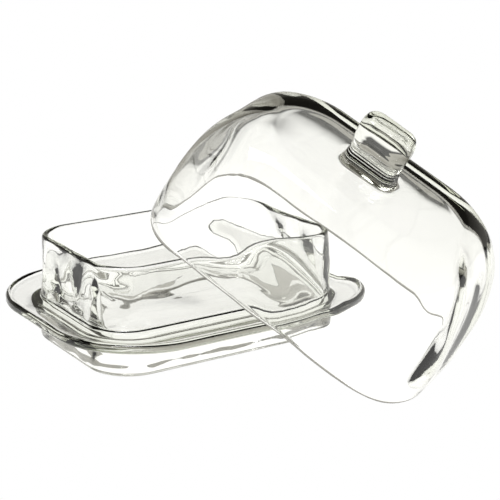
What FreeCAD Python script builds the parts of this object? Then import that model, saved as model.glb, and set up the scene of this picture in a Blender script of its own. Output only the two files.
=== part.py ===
"""Covered butter dish in clear pressed glass, millimetres, +Z up.

The dish is one piece of glass: a foot with a hollow under it, a broad tray with a raised
lip, and a well for the butter. The cover is a tall loaf-shaped shell, and its block knob
is fused on top. The cover is off the dish: it stands on the table with one corner of its
rim, and leans on the long side of the well.
The origin is the centre of the foot's underside, and +X runs along the dish.
"""
import FreeCAD, Part
import math
import os
import Sketcher

doc = FreeCAD.newDocument("butter_dish")

# Driving dimensions. A length is a straight run along X, a width along Y.
DIMENSIONS = {
    # foot, which spreads a little upwards, and the hollow under it
    "foot_length": 144.5,
    "foot_width": 96.5,
    "foot_corner": 23.5,
    "foot_spread": 1.5,
    "foot_height": 14.5,
    "foot_wall": 7.0,
    "hollow_corner": 18.0,
    "hollow_draft": 2.5,
    "hollow_height": 14.0,
    "hollow_round": 4.0,
    # tray: cove from the foot to a nearly flat underside, rounded edge, raised lip, and the
    # ledge inside the lip; a reach is how far the cove stands out from the foot
    "cove_low_reach": 0.8,
    "cove_low_height": 16.8,
    "cove_high_reach": 3.0,
    "cove_high_height": 18.6,
    "tray_length": 180.0,
    "tray_width": 143.0,
    "tray_corner": 48.0,
    "tray_edge_start": 19.3,
    "tray_height": 24.3,
    "tray_edge_round": 2.2,
    "lip_width": 3.4,
    "ledge_height": 23.0,
    # well: outer wall with a draft, flared at the ledge, and the space for the butter
    "well_length": 139.4,
    "well_width": 89.6,
    "well_corner": 19.0,
    "well_end_draft": 2.2,
    "well_side_draft": 0.8,
    "well_corner_draft": 3.0,
    "well_top": 55.6,
    "well_flare": 1.0,
    "well_wall": 3.4,
    "cavity_draft": 1.5,
    "well_floor": 19.5,
    "well_floor_round": 6.0,
    "well_rim_round": 1.2,
    # cover shell in its own upright frame, with the rim at height zero
    "cover_length": 160.0,
    "cover_width": 100.2,
    "cover_corner": 28.0,
    "cover_height": 71.8,
    "cover_end_draw": 29.0,
    "cover_side_draw": 22.2,
    "cover_power": 2.4,
    "cover_wall": 3.0,
    # knob on the cover
    "knob_length": 28.5,
    "knob_depth": 16.0,
    "knob_rise": 28.0,
    # centre of the rim, and the turn of the cover, where it leans
    "lean_x": 26.4,
    "lean_y": -72.4,
    "lean_z": 43.2,
    "lean_yaw": -58.55,
    "lean_pitch": 29.8,
    "lean_roll": 8.64,
}

# Angles of the cover's dome curve at its sections, in degrees: 0 at the rim, 90 at the middle
# of the roof. The last section closes the dome at the cover's full height.
COVER_ANGLES = (0, 15, 30, 43, 55, 66, 75, 83)

# Knob sections from its root up: rise, length, depth and corner as shares of the knob's.
KNOB_SECTIONS = (
    (0.00, 1.16, 1.28, 0.50),
    (0.08, 1.02, 1.00, 0.40),
    (0.22, 0.93, 0.82, 0.34),
    (0.40, 0.96, 0.90, 0.38),
    (0.62, 1.00, 1.00, 0.44),
    (0.82, 0.98, 0.95, 0.43),
    (0.94, 0.88, 0.78, 0.36),
    (1.00, 0.72, 0.52, 0.25),
)


def make_sheet():
    """The spreadsheet of driving dimensions, one named cell in each row."""
    sheet = doc.addObject("Spreadsheet::Sheet", "Dims")
    for row, (alias, value) in enumerate(DIMENSIONS.items(), start=1):
        sheet.set(f"A{row}", alias)
        sheet.set(f"B{row}", str(value))
        sheet.setAlias(f"B{row}", alias)
    doc.recompute()
    return sheet


def new_body(name):
    """An empty body whose label is the name of its node."""
    body = doc.addObject("PartDesign::Body", name)
    body.Label = name
    return body


def rounded_rectangle(body, name, length, width, corner, height):
    """A sketched rounded rectangle centred on the Z axis; its sizes are expressions."""
    sketch = body.newObject("Sketcher::SketchObject", name)
    plane = next(item for item in body.Origin.OriginFeatures if item.Role == "XY_Plane")
    sketch.AttachmentSupport = [(plane, "")]
    sketch.MapMode = "FlatFace"
    sketch.setExpression("AttachmentOffset.Base.z", height)

    half_length = float(sketch.evalExpression(length)) / 2
    half_width = float(sketch.evalExpression(width)) / 2
    radius = float(sketch.evalExpression(corner))
    flat_x = half_length - radius
    flat_y = half_width - radius
    up = FreeCAD.Vector(0, 0, 1)

    def line(x1, y1, x2, y2):
        return sketch.addGeometry(
            Part.LineSegment(FreeCAD.Vector(x1, y1, 0), FreeCAD.Vector(x2, y2, 0)), False)

    def arc(x, y, start_quarter):
        circle = Part.Circle(FreeCAD.Vector(x, y, 0), up, radius)
        start = start_quarter * math.pi / 2
        return sketch.addGeometry(Part.ArcOfCircle(circle, start, start + math.pi / 2), False)

    bottom = line(-flat_x, -half_width, flat_x, -half_width)
    arc_right_low = arc(flat_x, -flat_y, 3)
    right = line(half_length, -flat_y, half_length, flat_y)
    arc_right_high = arc(flat_x, flat_y, 0)
    top = line(flat_x, half_width, -flat_x, half_width)
    arc_left_high = arc(-flat_x, flat_y, 1)
    left = line(-half_length, flat_y, -half_length, -flat_y)
    arc_left_low = arc(-flat_x, -flat_y, 2)

    chain = (bottom, arc_right_low, right, arc_right_high, top, arc_left_high, left,
             arc_left_low)
    constraint = Sketcher.Constraint
    for first, second in zip(chain, chain[1:] + chain[:1]):
        sketch.addConstraint(constraint("Tangent", first, 2, second, 1))
    for edge in (bottom, top):
        sketch.addConstraint(constraint("Horizontal", edge))
    for edge in (right, left):
        sketch.addConstraint(constraint("Vertical", edge))
    for other in (arc_right_high, arc_left_high, arc_left_low):
        sketch.addConstraint(constraint("Equal", arc_right_low, other))
    sketch.addConstraint(constraint("Symmetric", bottom, 1, top, 1, -1, 1))

    def dimension(label, expression, *description):
        index = sketch.addConstraint(constraint(*description))
        sketch.renameConstraint(index, label)
        sketch.setExpression("Constraints." + label, expression)

    dimension("length", length, "DistanceX", left, 2, right, 1, 2 * half_length)
    dimension("width", width, "DistanceY", bottom, 2, top, 1, 2 * half_width)
    dimension("corner", corner, "Radius", arc_right_low, radius)
    doc.recompute()
    return sketch


def loft(body, name, kind, sections, ruled):
    """A loft of the given kind through sketches, the first of them its profile."""
    feature = body.newObject("PartDesign::" + kind, name)
    feature.Profile = sections[0]
    feature.Sections = list(sections[1:])
    feature.Ruled = ruled
    doc.recompute()
    return feature


def fillet(body, name, base, edges, radius):
    """Rounds the named edges of the base feature by an expression's radius."""
    feature = body.newObject("PartDesign::Fillet", name)
    feature.Base = (base, edges)
    feature.setExpression("Radius", radius)
    doc.recompute()
    return feature


def edges_at(feature, height, inside=None):
    """Names of the edges that lie level at a height, and within a half length if given."""
    names = []
    for index, edge in enumerate(feature.Shape.Edges, start=1):
        box = edge.BoundBox
        level = abs(box.ZMin - height) < 1e-3 and abs(box.ZMax - height) < 1e-3
        fits = inside is None or max(abs(box.XMin), abs(box.XMax)) < inside
        if level and fits:
            names.append(f"Edge{index}")
    return names


def build_dish():
    """Foot, tray, well and the hollow under the foot, in one piece of glass."""
    body = new_body("dish")

    def value(expression):
        """The number that an expression of the spreadsheet's cells comes to."""
        return float(body.evalExpression(expression))

    foot_low = rounded_rectangle(
        body, "foot_low", "Dims.foot_length", "Dims.foot_width", "Dims.foot_corner", "0")
    foot_high = rounded_rectangle(
        body, "foot_high", "Dims.foot_length + 2 * Dims.foot_spread",
        "Dims.foot_width + 2 * Dims.foot_spread", "Dims.foot_corner + Dims.foot_spread",
        "Dims.foot_height")
    loft(body, "foot", "AdditiveLoft", (foot_low, foot_high), True)

    cove = [
        rounded_rectangle(
            body, f"cove_{level}",
            f"Dims.foot_length + 2 * Dims.foot_spread + 2 * Dims.cove_{level}_reach",
            f"Dims.foot_width + 2 * Dims.foot_spread + 2 * Dims.cove_{level}_reach",
            f"Dims.foot_corner + Dims.foot_spread + Dims.cove_{level}_reach",
            f"Dims.cove_{level}_height")
        for level in ("low", "high")
    ]
    tray_low = rounded_rectangle(
        body, "tray_low", "Dims.tray_length", "Dims.tray_width", "Dims.tray_corner",
        "Dims.tray_edge_start")
    loft(body, "tray_underside", "AdditiveLoft", (foot_high, *cove, tray_low), True)
    tray = body.newObject("PartDesign::Pad", "tray")
    tray.Profile = tray_low
    tray.setExpression("Length", "Dims.tray_height - Dims.tray_edge_start")
    doc.recompute()
    edge_names = (edges_at(tray, value("Dims.tray_edge_start"))
                  + edges_at(tray, value("Dims.tray_height")))
    fillet(body, "tray_edge", tray, edge_names, "Dims.tray_edge_round")

    ledge_outline = rounded_rectangle(
        body, "ledge_outline", "Dims.tray_length - 2 * Dims.lip_width",
        "Dims.tray_width - 2 * Dims.lip_width", "Dims.tray_corner - Dims.lip_width",
        "Dims.tray_height")
    ledge = body.newObject("PartDesign::Pocket", "ledge")
    ledge.Profile = ledge_outline
    ledge.setExpression("Length", "Dims.tray_height - Dims.ledge_height")
    doc.recompute()

    well_low = rounded_rectangle(
        body, "well_low", "Dims.well_length + 2 * Dims.well_end_draft",
        "Dims.well_width + 2 * Dims.well_side_draft",
        "Dims.well_corner + Dims.well_corner_draft", "Dims.ledge_height")
    well_high = rounded_rectangle(
        body, "well_high", "Dims.well_length", "Dims.well_width", "Dims.well_corner",
        "Dims.well_top")
    well = loft(body, "well", "AdditiveLoft", (well_low, well_high), True)
    ledge_inside = value("Dims.tray_length / 2 - 2 * Dims.lip_width")
    flare = fillet(body, "well_flare", well,
                   edges_at(well, value("Dims.ledge_height"), ledge_inside),
                   "Dims.well_flare")

    cavity_low = rounded_rectangle(
        body, "cavity_low", "Dims.well_length - 2 * Dims.well_wall - 2 * Dims.cavity_draft",
        "Dims.well_width - 2 * Dims.well_wall - 2 * Dims.cavity_draft",
        "Dims.well_corner - Dims.well_wall", "Dims.well_floor")
    cavity_high = rounded_rectangle(
        body, "cavity_high", "Dims.well_length - 2 * Dims.well_wall",
        "Dims.well_width - 2 * Dims.well_wall", "Dims.well_corner - Dims.well_wall",
        "Dims.well_top")
    cavity = loft(body, "cavity", "SubtractiveLoft", (cavity_low, cavity_high), True)
    floor = fillet(body, "floor_round", cavity,
                   edges_at(cavity, value("Dims.well_floor")), "Dims.well_floor_round")
    rim = fillet(body, "rim_round", floor,
                 edges_at(floor, value("Dims.well_top")), "Dims.well_rim_round")

    hollow_low = rounded_rectangle(
        body, "hollow_low", "Dims.foot_length - 2 * Dims.foot_wall",
        "Dims.foot_width - 2 * Dims.foot_wall", "Dims.hollow_corner", "0")
    hollow_high = rounded_rectangle(
        body, "hollow_high", "Dims.foot_length - 2 * Dims.foot_wall - 2 * Dims.hollow_draft",
        "Dims.foot_width - 2 * Dims.foot_wall - 2 * Dims.hollow_draft",
        "Dims.hollow_corner", "Dims.hollow_height")
    hollow = loft(body, "hollow", "SubtractiveLoft", (hollow_low, hollow_high), True)
    fillet(body, "hollow_round", hollow,
           edges_at(hollow, value("Dims.hollow_height")), "Dims.hollow_round")
    return body


def cover_section(body, name, angle, inset):
    """Outline of the cover at one angle of its dome curve; the inner face has an inset."""
    power = "(2 / Dims.cover_power)"
    drawn = f"(1 - cos({angle})^{power})"
    risen = f"((sin({angle}) / sin({COVER_ANGLES[-1]}))^{power})"
    return rounded_rectangle(
        body, name,
        f"Dims.cover_length - 2 * {inset} - 2 * Dims.cover_end_draw * {drawn}",
        f"Dims.cover_width - 2 * {inset} - 2 * Dims.cover_side_draw * {drawn}",
        f"Dims.cover_corner - {inset}",
        f"(Dims.cover_height - {inset}) * {risen}")


def lean(body):
    """Gives a piece of the cover the place and turn in which the cover leans."""
    body.setExpression(
        "Placement",
        "create(<<placement>>; create(<<vector>>; Dims.lean_x; Dims.lean_y; Dims.lean_z); "
        "create(<<rotation>>; Dims.lean_yaw; Dims.lean_pitch; Dims.lean_roll))")
    doc.recompute()


def build_cover():
    """The loaf-shaped shell, open at its rim."""
    body = new_body("lid_cover")
    outer = [cover_section(body, f"outer_{angle}", angle, "0") for angle in COVER_ANGLES]
    loft(body, "cover_solid", "AdditiveLoft", outer, False)
    inner = [cover_section(body, f"inner_{angle}", angle, "Dims.cover_wall")
             for angle in COVER_ANGLES]
    loft(body, "cover_hollow", "SubtractiveLoft", inner, False)
    lean(body)
    return body


def build_knob():
    """The pinched block that stands on the cover's flat top."""
    body = new_body("lid_knob")
    sections = [
        rounded_rectangle(
            body, f"knob_{index}", f"Dims.knob_length * {length_share}",
            f"Dims.knob_depth * {depth_share}", f"Dims.knob_depth * {corner_share}",
            f"Dims.cover_height + Dims.knob_rise * {rise_share}")
        for index, (rise_share, length_share, depth_share, corner_share)
        in enumerate(KNOB_SECTIONS)
    ]
    loft(body, "knob", "AdditiveLoft", sections, False)
    lean(body)
    return body


def check(pieces):
    """Stops if any object failed or any piece isn't one valid solid."""
    doc.recompute()
    for item in doc.Objects:
        if "Invalid" in item.State or "Error" in item.State:
            raise RuntimeError(f"{item.Name} failed: {item.State}")
    for piece in pieces:
        shape = piece.Shape
        if shape.isNull() or not shape.isValid() or len(shape.Solids) != 1:
            raise RuntimeError(f"{piece.Label} is not one valid solid")


make_sheet()
pieces = [build_dish(), build_cover(), build_knob()]
check(pieces)
os.makedirs("parts", exist_ok=True)
for piece in pieces:
    piece.Shape.exportStep(f"parts/{piece.Label}.step")
    box = piece.Shape.BoundBox
    print(f"{piece.Label}: {piece.Shape.Volume / 1000:.1f} cm3, "
          f"X {box.XMin:.1f} to {box.XMax:.1f}, Y {box.YMin:.1f} to {box.YMax:.1f}, "
          f"Z {box.ZMin:.1f} to {box.ZMax:.1f}")
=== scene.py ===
import math

import bpy
from mathutils import Euler, Matrix, Vector, noise


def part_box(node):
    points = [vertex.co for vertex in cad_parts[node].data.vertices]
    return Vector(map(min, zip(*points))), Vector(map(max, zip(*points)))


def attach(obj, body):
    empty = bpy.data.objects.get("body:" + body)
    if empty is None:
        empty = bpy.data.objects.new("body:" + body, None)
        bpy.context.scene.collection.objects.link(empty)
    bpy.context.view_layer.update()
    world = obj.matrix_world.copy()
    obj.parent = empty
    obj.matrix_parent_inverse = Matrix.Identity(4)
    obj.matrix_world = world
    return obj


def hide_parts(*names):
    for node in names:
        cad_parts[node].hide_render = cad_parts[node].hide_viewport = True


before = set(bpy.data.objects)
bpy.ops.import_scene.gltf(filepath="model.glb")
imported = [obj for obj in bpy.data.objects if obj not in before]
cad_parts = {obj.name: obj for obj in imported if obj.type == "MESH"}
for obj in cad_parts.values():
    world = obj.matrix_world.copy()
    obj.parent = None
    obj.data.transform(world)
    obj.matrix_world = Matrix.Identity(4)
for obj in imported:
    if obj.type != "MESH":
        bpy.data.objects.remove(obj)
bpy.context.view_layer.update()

MM = 0.001


def ramp(value, low, high):
    """A smooth rise from 0 to 1 as a value goes from low to high."""
    share = min(max((value - low) / (high - low), 0.0), 1.0)
    return share * share * (3 - 2 * share)


def size_of(node):
    """Length, width and top height of a CAD node, in millimetres."""
    low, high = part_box(node)
    return (high[0] - low[0]) / MM, (high[1] - low[1]) / MM, high[2] / MM


# ---------------------------------------------------------------- sizes, in millimetres
# An outline is a rounded rectangle: its length, its width and the radius of its corners.
TRAY_LENGTH, TRAY_WIDTH, WELL_TOP = size_of("dish")
TRAY_CORNER = 48.0
TRAY_EDGE_LOW = 19.3
TRAY_EDGE_ROUND = 1.9
TRAY_TOP = 24.3
LEDGE = 23.0
LIP_WIDTH = 2.38

# The foot's outlines at the table. Its side spreads outwards and its hollow draws in, both
# upwards, on each side.
FOOT = (144.5, 96.5, 23.5)
FOOT_SIDE_TOP = 7.8
FOOT_SPREAD = 1.5
HOLLOW = (130.5, 82.5, 18.0)
HOLLOW_DRAFT = 2.5
HOLLOW_HEIGHT = 14.0

# The well's outer outlines at its rim and at the ledge.
WELL = (139.4, 89.6, 19.0)
WELL_BASE = (143.8, 91.2, 22.0)
WELL_WALL = 3.4
WELL_DRAFT = 1.5
WELL_FLOOR = 19.5
FLOOR_ROUND = 3.5

# The cove under the tray: share of the way out from foot to tray edge, and height.
COVE = ((0.0, 8.7), (0.0, 12.0), (0.01, 14.5), (0.03, 16.2), (0.08, 17.7), (0.16, 18.5),
        (0.35, 18.9), (0.6, 19.1), (0.88, 19.25))

# Middle and radius of the shallow dent that the cut gather leaves under the well's floor.
SHEAR_MARK = (-19.0, -15.0, 28.0)

COVER_LENGTH = 160.0
COVER_WIDTH = 100.2
COVER_CORNER = 28.0
COVER_HEIGHT = 71.8
# How far the ends and sides draw in from rim to roof, and the power of their curve.
COVER_END_DRAW = 29.0
COVER_SIDE_DRAW = 22.2
COVER_POWER = 2.4
COVER_WALL = 3.0
COVER_CROWN = 0.8
# How much further the inner face draws in towards the roof on the far side of the cover,
# which thickens the glass of that shoulder.
SHOULDER_EXTRA = 6.0
# Where the middle of the cover's rim is, and how the cover leans, in degrees.
COVER_AT = (26.4, -72.4, 43.2)
COVER_YAW_PITCH_ROLL = (-58.55, 29.8, 8.64)

KNOB_LENGTH = 28.5
KNOB_DEPTH = 16.0
KNOB_RISE = 28.0
# How far the knob's top domes up, as a share of the knob's rise.
KNOB_TOP_CROWN = 0.03
# Knob sections from its root up: its height as a share of the knob's rise, its length as a
# share of the knob's length, and its depth and corner as shares of the knob's depth.
KNOB_SECTIONS = (
    (0.000, 1.19, 1.31, 0.51),
    (0.006, 1.12, 1.16, 0.46),
    (0.020, 1.05, 1.03, 0.41),
    (0.05, 1.00, 0.93, 0.36),
    (0.12, 0.97, 0.88, 0.34),
    (0.22, 0.95, 0.84, 0.33),
    (0.36, 0.94, 0.81, 0.32),
    (0.44, 0.96, 0.89, 0.36),
    (0.53, 0.99, 1.02, 0.42),
    (0.66, 1.00, 1.05, 0.45),
    (0.80, 0.99, 1.02, 0.45),
    (0.92, 0.92, 0.86, 0.40),
    (0.97, 0.82, 0.68, 0.31),
)


# ---------------------------------------------------------------- outlines and skins
CORNER_STEPS = 14
LONG_STEPS = 26
SHORT_STEPS = 18
SMALLEST_CORNER = 0.5
# Which way each corner lies along the length and the width, and its quarter of a turn.
CORNERS = ((1, 1, 0), (-1, 1, 1), (-1, -1, 2), (1, -1, 3))


def ring(outline, height):
    """Points round an outline at a height, the same number of them for any size."""
    length, width, corner = outline
    corner = min(corner, length / 2, width / 2)
    flat_x = length / 2 - corner
    flat_y = width / 2 - corner
    points = []
    for index, (side_x, side_y, quarter) in enumerate(CORNERS):
        for step in range(CORNER_STEPS + 1):
            turn = math.pi / 2 * (quarter + step / CORNER_STEPS)
            points.append((side_x * flat_x + corner * math.cos(turn),
                           side_y * flat_y + corner * math.sin(turn)))
        next_x, next_y, next_quarter = CORNERS[(index + 1) % 4]
        turn = math.pi / 2 * next_quarter
        start = points[-1]
        end = (next_x * flat_x + corner * math.cos(turn),
               next_y * flat_y + corner * math.sin(turn))
        steps = LONG_STEPS if index % 2 == 0 else SHORT_STEPS
        for step in range(1, steps):
            share = step / steps
            points.append((start[0] + (end[0] - start[0]) * share,
                           start[1] + (end[1] - start[1]) * share))
    return [Vector((x, y, height)) for x, y in points]


def grown(outline, reach):
    """An outline moved outwards by a reach on every side."""
    length, width, corner = outline
    return (length + 2 * reach, width + 2 * reach, max(corner + reach, SMALLEST_CORNER))


def mixed(first, second, share):
    """An outline part way from one to another."""
    return tuple(a + (b - a) * share for a, b in zip(first, second))


def run(first, first_height, second, second_height, steps):
    """Rings from one outline to another, both ends included."""
    return [ring(mixed(first, second, step / steps),
                 first_height + (second_height - first_height) * step / steps)
            for step in range(steps + 1)]


def bend(outline, height, radius, start, end, steps):
    """Rings round an edge of a radius; angles in degrees, 0 outwards and 90 upwards."""
    rings = []
    for step in range(steps + 1):
        turn = math.radians(start + (end - start) * step / steps)
        rings.append(ring(grown(outline, radius * math.cos(turn)),
                          height + radius * math.sin(turn)))
    return rings


def disc(outline, height, steps, crown=0.0):
    """Rings that fill an outline from its middle outwards, with a low crown."""
    length, width, corner = outline
    rings = []
    innermost = 0.15
    for step in range(steps):
        share = (step + innermost) / steps
        inset = (1 - share) * width / 2
        shape = (length - 2 * inset, width * share, corner * share)
        rings.append(ring(shape, height + crown * (1 - share * share)))
    return rings


def skin(name, rings):
    """A closed mesh through a stack of rings, with its first and last ring filled."""
    count = len(rings[0])
    vertices = [point * MM for points in rings for point in points]
    faces = []
    for level in range(len(rings) - 1):
        low = level * count
        high = low + count
        for step in range(count):
            after = (step + 1) % count
            faces.append((low + step, low + after, high + after, high + step))
    last = (len(rings) - 1) * count
    faces.append(tuple(reversed(range(count))))
    faces.append(tuple(range(last, last + count)))
    mesh = bpy.data.meshes.new(name)
    mesh.from_pydata(vertices, [], faces)
    mesh.validate()
    mesh.update()
    piece = bpy.data.objects.new(name, mesh)
    bpy.context.scene.collection.objects.link(piece)
    return piece


def cover_outline(angle, inset, extra_draw=0.0):
    """Outline and height of the cover at an angle of its dome curve, 0 at the rim."""
    drawn = 1 - math.cos(math.radians(angle)) ** (2 / COVER_POWER)
    risen = math.sin(math.radians(angle)) ** (2 / COVER_POWER)
    outline = (COVER_LENGTH - 2 * inset - 2 * COVER_END_DRAW * drawn,
               COVER_WIDTH - 2 * inset - 2 * (COVER_SIDE_DRAW + extra_draw) * drawn,
               COVER_CORNER - inset)
    return outline, (COVER_HEIGHT - inset) * risen


# Angles of the dome curve that have a ring, closer together at the rim and at the roof.
DOME_ANGLES = [0, 1, 2] + [step * 3 for step in range(1, 30)] + [88.4, 89.4]


def inner_rings(extra_draw):
    """The cover's inner face, from the middle of its roof down to its rim."""
    top, height = cover_outline(DOME_ANGLES[-1], COVER_WALL, extra_draw)
    return (disc(top, height, 14, COVER_CROWN)
            + [ring(*cover_outline(angle, COVER_WALL, extra_draw))
               for angle in reversed(DOME_ANGLES[1:])])


def thick_share(point):
    """How far the inner face goes to its thick shape: fully on the far side, less at its ends."""
    far_side = ramp(point.y, -20.0, 30.0)
    ends = ramp(abs(point.x), 48.0, 66.0)
    return far_side * (1 - 0.6 * ends)


def cover_rings():
    """The cover from the middle of its inner roof, round its rim and up, with its knob."""
    rings = []
    for thin, thick in zip(inner_rings(0.0), inner_rings(SHOULDER_EXTRA)):
        rings.append([start.lerp(end, thick_share(start)) for start, end in zip(thin, thick)])
    rim = COVER_WALL / 2
    middle = (COVER_LENGTH - COVER_WALL, COVER_WIDTH - COVER_WALL, COVER_CORNER - rim)
    rings += bend(middle, rim, rim, 180, 360, 8)
    rings += [ring(*cover_outline(angle, 0)) for angle in DOME_ANGLES[1:]]
    top, height = cover_outline(DOME_ANGLES[-1], 0)
    knob_root = knob_outline(KNOB_SECTIONS[0])
    roof_steps = 16
    for step in range(1, roof_steps):
        share = step / roof_steps
        rings.append(ring(mixed(top, knob_root, share),
                          height + COVER_CROWN * (1 - (1 - share) ** 2)))
    return rings + knob_rings(height + COVER_CROWN)


def smooth_between(rows, steps):
    """Rows on a smooth Catmull-Rom curve through a list of rows, with some steps a gap."""
    padded = [rows[0]] + list(rows) + [rows[-1]]
    result = []
    for index in range(1, len(padded) - 2):
        before, first, second, after = padded[index - 1:index + 3]
        for step in range(steps):
            t = step / steps
            result.append(tuple(
                0.5 * (2 * p1 + (p2 - p0) * t + (2 * p0 - 5 * p1 + 4 * p2 - p3) * t * t
                       + (3 * p1 - p0 - 3 * p2 + p3) * t * t * t)
                for p0, p1, p2, p3 in zip(before, first, second, after)))
    return result + [rows[-1]]


def knob_outline(section):
    """Outline of one of the knob's sections, in millimetres."""
    _, length, depth, corner = section
    return (KNOB_LENGTH * length, KNOB_DEPTH * depth, KNOB_DEPTH * corner)


def knob_rings(root):
    """The pinched block knob, from a root height on the roof to the middle of its top."""
    rise = COVER_HEIGHT + KNOB_RISE - root
    rings = [ring(knob_outline(section), root + rise * section[0])
             for section in smooth_between(KNOB_SECTIONS, 14)]
    last = KNOB_SECTIONS[-1]
    rings += reversed(disc(knob_outline(last), root + rise * last[0], 6,
                           rise * KNOB_TOP_CROWN))
    return rings


def cove_rings(foot_top, tray):
    """The smooth curve from the foot's side to the nearly flat underside of the tray."""
    return [ring(mixed(foot_top, tray, share), height)
            for share, height in smooth_between(COVE, 3)]


def dish_rings():
    """The dish from the roof of its hollow, out round foot, tray and well, to its floor."""
    hollow_top = grown(HOLLOW, -HOLLOW_DRAFT)
    hollow_round = 2.5
    foot_inner_round = 1.6
    foot_outer_round = 2.2
    foot_top = grown(FOOT, FOOT_SPREAD)
    foot_lean = 0.3
    tray = (TRAY_LENGTH, TRAY_WIDTH, TRAY_CORNER)
    edge = TRAY_EDGE_ROUND
    underside_angle = 272
    lip_inside = grown(tray, -edge - LIP_WIDTH)
    lip_steps = 6
    ledge_start = 0.1
    flare = 1.6
    rim = WELL_WALL / 2
    cavity = grown(WELL, -WELL_WALL)
    cavity_low = grown(cavity, -WELL_DRAFT)
    # How far the rings of straight stretches stay from the rounds next to them.
    foot_gap = 1.0
    floor_gap = 0.8
    wall_gap = 1.2

    rings = disc(grown(hollow_top, -hollow_round), HOLLOW_HEIGHT, 14)
    rings += bend(grown(hollow_top, -hollow_round), HOLLOW_HEIGHT - hollow_round,
                  hollow_round, 90, 0, 7)
    rings += run(hollow_top, HOLLOW_HEIGHT - hollow_round - foot_gap, HOLLOW,
                 foot_inner_round + foot_gap, 5)
    rings += bend(grown(HOLLOW, foot_inner_round), foot_inner_round, foot_inner_round,
                  180, 270, 5)
    rings += bend(grown(FOOT, -foot_outer_round), foot_outer_round, foot_outer_round,
                  270, 360, 6)
    rings += run(grown(FOOT, foot_lean), foot_outer_round + foot_gap, foot_top,
                 FOOT_SIDE_TOP, 3)
    rings += cove_rings(foot_top, tray)
    rings += bend(grown(tray, -edge), TRAY_EDGE_LOW + edge, edge, underside_angle, 360, 6)
    rings += bend(grown(tray, -edge), TRAY_TOP - edge, edge, 0, 90, 6)
    for step in range(1, lip_steps + 1):
        drop = (TRAY_TOP - LEDGE) * ramp(step, 0, lip_steps)
        rings.append(ring(mixed(grown(tray, -edge), lip_inside, step / lip_steps),
                          TRAY_TOP - drop))
    rings += run(mixed(lip_inside, WELL_BASE, ledge_start), LEDGE,
                 grown(WELL_BASE, flare + floor_gap), LEDGE, 6)
    rings += bend(grown(WELL_BASE, flare), LEDGE + flare, flare, 270, 180, 7)
    rings += run(WELL_BASE, LEDGE + flare + wall_gap, WELL, WELL_TOP - rim - wall_gap, 9)
    rings += bend(grown(WELL, -rim), WELL_TOP - rim, rim, 0, 180, 9)
    rings += run(cavity, WELL_TOP - rim - wall_gap, cavity_low,
                 WELL_FLOOR + FLOOR_ROUND + floor_gap, 8)
    rings += bend(grown(cavity_low, -FLOOR_ROUND), WELL_FLOOR + FLOOR_ROUND, FLOOR_ROUND,
                  0, -90, 9)
    rings += reversed(disc(grown(cavity_low, -FLOOR_ROUND), WELL_FLOOR, 14))
    return rings


# ---------------------------------------------------------------- waves in the glass
def push(piece, distance_at):
    """Moves each point of a mesh along its normal by distance_at(place, normal)."""
    mesh = piece.data
    normals = [vertex.normal.copy() for vertex in mesh.vertices]
    for vertex, normal in zip(mesh.vertices, normals):
        vertex.co += normal * distance_at(vertex.co / MM, normal) * MM
    mesh.update()


def wave(piece, depth, length, seed, share, stretch=(1, 1, 1)):
    """Smooth noise waves in a mesh; share(place, normal) scales them from place to place."""
    offset = Vector((seed * 7.3, seed * 3.1, seed * 5.7))

    def distance_at(place, normal):
        sample = Vector(axis / (length * pull) for axis, pull in zip(place, stretch))
        return noise.noise(sample + offset) * depth * share(place, normal)

    push(piece, distance_at)


def ribs(piece, depth, pitch, share):
    """Fine level ribs from the mould, scaled from place to place by share(place, normal)."""
    def distance_at(place, normal):
        return math.sin(math.tau * place.z / pitch) * depth * share(place, normal)

    push(piece, distance_at)


def dent(piece, mark, depth):
    """Presses a round dent up into the roof of the foot's hollow."""
    middle_x, middle_y, radius = mark
    for vertex in piece.data.vertices:
        place = vertex.co / MM
        away = math.hypot(place.x - middle_x, place.y - middle_y) / radius
        from_roof = abs(place.z - HOLLOW_HEIGHT)
        if away < 1 and from_roof < 1:
            vertex.co.z += depth * (1 - ramp(away, 0.0, 1.0)) * MM
    piece.data.update()


def short_wall_share(place, normal):
    """The well's short walls, fading towards their rim."""
    walls = ramp(abs(place.x), 45.0, 60.0) * ramp(place.z, 21.0, 30.0)
    return walls * (1 - 0.75 * ramp(place.z, WELL_TOP - 6.0, WELL_TOP - 1.0))


def dish_wave_share(place, normal):
    """Strong waves in the short walls, mild ones in the rest, and nearly true flat faces."""
    mild = 0.24 - 0.18 * ramp(abs(normal.z), 0.5, 0.9)
    return ramp(place.z, 1.0, 6.0) * (mild + 1.1 * short_wall_share(place, normal))


def foot_side_share(place, normal):
    """The outer side of the foot, most of all high up under the tray."""
    reach_out = abs(place.x) / FOOT[0] + abs(place.y) / FOOT[1]
    outside = ramp(reach_out, 0.40, 0.46)
    return outside * ramp(place.z, 2.0, 5.0) * (1 - ramp(place.z, 14.0, 16.5))


def knob_root_share(place, normal):
    """The lower third of the knob's sides."""
    above_root = ramp(place.z, COVER_HEIGHT + 1.6, COVER_HEIGHT + 2.6)
    return above_root * (1 - ramp(place.z, COVER_HEIGHT + 8.5, COVER_HEIGHT + 10.5))


def knob_share(place, normal):
    """Small waves in the knob only."""
    return ramp(place.z, COVER_HEIGHT + 3.0, COVER_HEIGHT + 8.0)


def cover_side_share(place, normal):
    """Full waves in the cover's walls, fading towards its roof."""
    return 1 - 0.85 * ramp(place.z, 25.0, 58.0)


def cover_end_share(place, normal):
    """Tall waves down the cover's short walls, deepest at the lower end; none at its rim."""
    deep = 1.0 if place.x > 0 else 0.3
    return deep * ramp(abs(place.x), 50.0, 74.0) * ramp(place.z, 2.0, 14.0)


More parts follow.
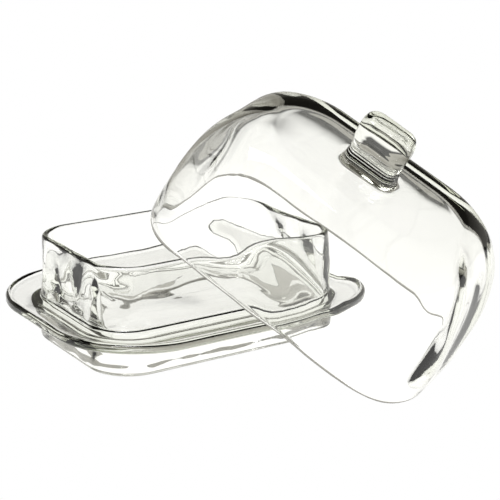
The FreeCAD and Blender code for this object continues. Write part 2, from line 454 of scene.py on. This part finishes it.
def finish_mesh(piece, sharp_degrees):
    """Outward faces, smooth shading, and sharp edges only where the glass has a crease."""
    bpy.ops.object.select_all(action="DESELECT")
    piece.select_set(True)
    bpy.context.view_layer.objects.active = piece
    bpy.ops.object.mode_set(mode="EDIT")
    bpy.ops.mesh.select_all(action="SELECT")
    bpy.ops.mesh.normals_make_consistent(inside=False)
    bpy.ops.object.mode_set(mode="OBJECT")
    bpy.ops.object.shade_smooth_by_angle(angle=math.radians(sharp_degrees))


# ---------------------------------------------------------------- glass
GLASS_INDEX = 1.5
GLASS_BOUNCES = 24
ABSORPTION = 50.0
MOST_ROUGH = 0.02
# The olive of the painted edge shade, which darkens the glass's colour towards its edges.
PAINTED_EDGE_SHADE_TINT = (1.0, 0.98, 0.92)


def add_node(tree, kind, **values):
    """A new node in a tree, with some of its inputs set by name."""
    node = tree.nodes.new(kind)
    for name, value in values.items():
        node.inputs[name.replace("_", " ")].default_value = value
    return node


def fill_ramp(elements, stops, tint):
    """Sets a colour ramp to grey levels at places, each level tinted as it darkens."""
    while len(elements) < len(stops):
        elements.new(0.5)
    for element, (place, level) in zip(elements, stops):
        element.position = place
        element.color = (*(level * (share + (1 - share) * level) for share in tint), 1)


def glass(name, painted_edge_shade_stops, absorb, ripple_scale, ripple_depth):
    """Clear glass: plain refraction, a fire-polished ripple, and painted shade that darkens its
    edges.
    """
    material = bpy.data.materials.new(name)
    material.use_nodes = True
    tree = material.node_tree
    shader = tree.nodes["Principled BSDF"]
    shader.inputs["IOR"].default_value = GLASS_INDEX
    shader.inputs["Transmission Weight"].default_value = 1.0

    facing = add_node(tree, "ShaderNodeLayerWeight", Blend=0.5)
    # Painted edge shade: this ramp darkens the glass's colour as the surface turns edge on.
    edge = add_node(tree, "ShaderNodeValToRGB")
    fill_ramp(edge.color_ramp.elements, painted_edge_shade_stops, PAINTED_EDGE_SHADE_TINT)
    tree.links.new(facing.outputs["Facing"], edge.inputs["Fac"])
    tree.links.new(edge.outputs["Color"], shader.inputs["Base Color"])

    coordinates = add_node(tree, "ShaderNodeTexCoord")
    ripple = add_node(tree, "ShaderNodeTexNoise", Scale=ripple_scale, Detail=2.0)
    tree.links.new(coordinates.outputs["Object"], ripple.inputs["Vector"])
    bump = add_node(tree, "ShaderNodeBump", Strength=1.0, Distance=ripple_depth)
    tree.links.new(ripple.outputs["Fac"], bump.inputs["Height"])
    tree.links.new(bump.outputs["Normal"], shader.inputs["Normal"])

    haze = add_node(tree, "ShaderNodeMapRange", From_Min=0.35, From_Max=0.75,
                    To_Min=0.0, To_Max=MOST_ROUGH)
    tree.links.new(ripple.outputs["Fac"], haze.inputs["Value"])
    tree.links.new(haze.outputs["Result"], shader.inputs["Roughness"])

    volume = add_node(tree, "ShaderNodeVolumeAbsorption", Color=(*absorb, 1),
                      Density=ABSORPTION)
    tree.links.new(volume.outputs["Volume"], tree.nodes["Material Output"].inputs["Volume"])
    return material


# Painted edge shade: how light the glass's colour stays, by how far the surface turns away: 0
# square on, 1 edge on.
DISH_PAINTED_EDGE_SHADE = ((0.78, 1.0), (0.92, 0.50), (1.0, 0.25))
COVER_PAINTED_EDGE_SHADE = ((0.66, 1.0), (0.82, 0.60), (0.95, 0.40))
DISH_GLASS = glass("dish_glass", DISH_PAINTED_EDGE_SHADE, absorb=(0.93, 0.94, 0.90),
                   ripple_scale=45.0, ripple_depth=0.00008)
COVER_GLASS = glass("cover_glass", COVER_PAINTED_EDGE_SHADE, absorb=(0.90, 0.91, 0.85),
                    ripple_scale=40.0, ripple_depth=0.00006)


# ---------------------------------------------------------------- the two glass pieces
dish = skin("dish_glass", dish_rings())
finish_mesh(dish, 60)
wave(dish, depth=1.0, length=17.0, seed=1, share=dish_wave_share)
wave(dish, depth=0.35, length=6.0, seed=4, share=short_wall_share)
wave(dish, depth=0.4, length=7.0, seed=7, share=foot_side_share)
dent(dish, SHEAR_MARK, depth=0.8)
dish.data.materials.append(DISH_GLASS)
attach(dish, "dish")
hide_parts("dish")

cover = skin("cover_glass", cover_rings())
finish_mesh(cover, 60)
wave(cover, depth=0.3, length=8.0, seed=3, share=knob_share)
ribs(cover, depth=0.12, pitch=1.5, share=knob_root_share)
wave(cover, depth=0.85, length=23.0, seed=2, share=cover_side_share)
wave(cover, depth=1.7, length=13.0, seed=5, share=cover_end_share, stretch=(1, 1, 4.5))
yaw, pitch, roll = (math.radians(angle) for angle in COVER_YAW_PITCH_ROLL)
lean = Euler((roll, pitch, yaw), "XYZ").to_matrix().to_4x4()
cover.data.transform(Matrix.Translation(Vector(COVER_AT) * MM) @ lean)
cover.data.materials.append(COVER_GLASS)
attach(cover, "lid")
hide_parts("lid_cover", "lid_knob")


# ---------------------------------------------------------------- stage, light and camera
# The floor that the glass sees: a pool of light, which fades between two distances in metres.
FLOOR_REACH = 6.0
FLOOR_DROP = 0.0002
FLOOR_GLOW = 1.14
FLOOR_DIM = 0.10
FLOOR_TINT = (1.0, 0.995, 0.97)
POOL_EDGE = (0.6, 1.6)
WHITE = (1, 1, 1, 1)

# The room that the glass sees, by the sine of the angle above level: 0 level, 1 straight up.
ROOM_TINT = (1.0, 0.94, 0.76)
ROOM_STOPS = ((0.0, 0.5), (0.47, 0.2), (0.5, 0.12), (0.53, 0.09), (1.0, 0.06))


def make_floor():
    """A plain white table. The lens sees it evenly lit; the glass sees its pool of light."""
    bpy.ops.mesh.primitive_plane_add(size=2 * FLOOR_REACH, location=(0, 0, -FLOOR_DROP))
    floor = bpy.context.object
    floor.name = "floor"
    material = bpy.data.materials.new("floor")
    material.use_nodes = True
    tree = material.node_tree
    tree.nodes.clear()
    place = add_node(tree, "ShaderNodeNewGeometry")
    far = add_node(tree, "ShaderNodeVectorMath")
    far.operation = "LENGTH"
    tree.links.new(place.outputs["Position"], far.inputs[0])
    pool = add_node(tree, "ShaderNodeMapRange", From_Min=POOL_EDGE[0], From_Max=POOL_EDGE[1],
                    To_Min=FLOOR_GLOW, To_Max=FLOOR_DIM)
    pool.interpolation_type = "SMOOTHSTEP"
    tree.links.new(far.outputs["Value"], pool.inputs["Value"])
    lit = add_node(tree, "ShaderNodeEmission", Color=(*FLOOR_TINT, 1))
    tree.links.new(pool.outputs["Result"], lit.inputs["Strength"])
    plain = add_node(tree, "ShaderNodeEmission", Color=WHITE, Strength=1.0)
    path = add_node(tree, "ShaderNodeLightPath")
    mix = add_node(tree, "ShaderNodeMixShader")
    tree.links.new(path.outputs["Is Camera Ray"], mix.inputs["Fac"])
    tree.links.new(lit.outputs["Emission"], mix.inputs[1])
    tree.links.new(plain.outputs["Emission"], mix.inputs[2])
    output = add_node(tree, "ShaderNodeOutputMaterial")
    tree.links.new(mix.outputs["Shader"], output.inputs["Surface"])
    floor.data.materials.append(material)


def make_world():
    """A white backdrop for the lens, and a dark room over a bright horizon for the glass."""
    world = bpy.data.worlds.new("studio")
    bpy.context.scene.world = world
    world.use_nodes = True
    tree = world.node_tree
    room = tree.nodes["Background"]
    coordinates = add_node(tree, "ShaderNodeTexCoord")
    split = add_node(tree, "ShaderNodeSeparateXYZ")
    tree.links.new(coordinates.outputs["Generated"], split.inputs["Vector"])
    sky = add_node(tree, "ShaderNodeValToRGB")
    tree.links.new(split.outputs["Z"], sky.inputs["Fac"])
    fill_ramp(sky.color_ramp.elements, ROOM_STOPS, ROOM_TINT)
    tree.links.new(sky.outputs["Color"], room.inputs["Color"])
    backdrop = add_node(tree, "ShaderNodeBackground", Color=WHITE, Strength=1.0)
    path = add_node(tree, "ShaderNodeLightPath")
    mix = add_node(tree, "ShaderNodeMixShader")
    tree.links.new(path.outputs["Is Camera Ray"], mix.inputs["Fac"])
    tree.links.new(room.outputs["Background"], mix.inputs[1])
    tree.links.new(backdrop.outputs["Background"], mix.inputs[2])
    tree.links.new(mix.outputs["Shader"], tree.nodes["World Output"].inputs["Surface"])


def make_light(name, place, aim, size, power):
    """A soft square light at a place in metres, turned towards a point."""
    data = bpy.data.lights.new(name, "AREA")
    data.shape = "SQUARE"
    data.size = size
    data.energy = power
    lamp = bpy.data.objects.new(name, data)
    lamp.location = place
    direction = Vector(aim) - Vector(place)
    lamp.rotation_euler = direction.to_track_quat("-Z", "Y").to_euler()
    bpy.context.scene.collection.objects.link(lamp)


# Angles in degrees, places in metres, and the lens in millimetres.
CAMERA_AZIMUTH = -32.8
CAMERA_ELEVATION = 16.95
CAMERA_DISTANCE = 0.826
CAMERA_AIM = (0.0391, 0.0, 0.0377)
CAMERA_LENS = 109.8


def make_camera():
    """A long lens from the left of the front, a little above the table."""
    azimuth = math.radians(CAMERA_AZIMUTH)
    elevation = math.radians(CAMERA_ELEVATION)
    back = Vector((math.sin(azimuth) * math.cos(elevation),
                   -math.cos(azimuth) * math.cos(elevation), math.sin(elevation)))
    data = bpy.data.cameras.new("camera")
    data.lens = CAMERA_LENS
    camera = bpy.data.objects.new("camera", data)
    camera.location = Vector(CAMERA_AIM) + back * CAMERA_DISTANCE
    camera.rotation_euler = (-back).to_track_quat("-Z", "Y").to_euler()
    bpy.context.scene.collection.objects.link(camera)
    bpy.context.scene.camera = camera


make_floor()
make_world()
make_light("top_light", place=(-0.5, -0.4, 1.1), aim=(0.03, -0.03, 0.05), size=0.5, power=8.0)
make_camera()
scene = bpy.context.scene
scene.view_settings.view_transform = "Standard"
scene.cycles.max_bounces = GLASS_BOUNCES
scene.cycles.transmission_bounces = GLASS_BOUNCES
scene.cycles.transparent_max_bounces = GLASS_BOUNCES
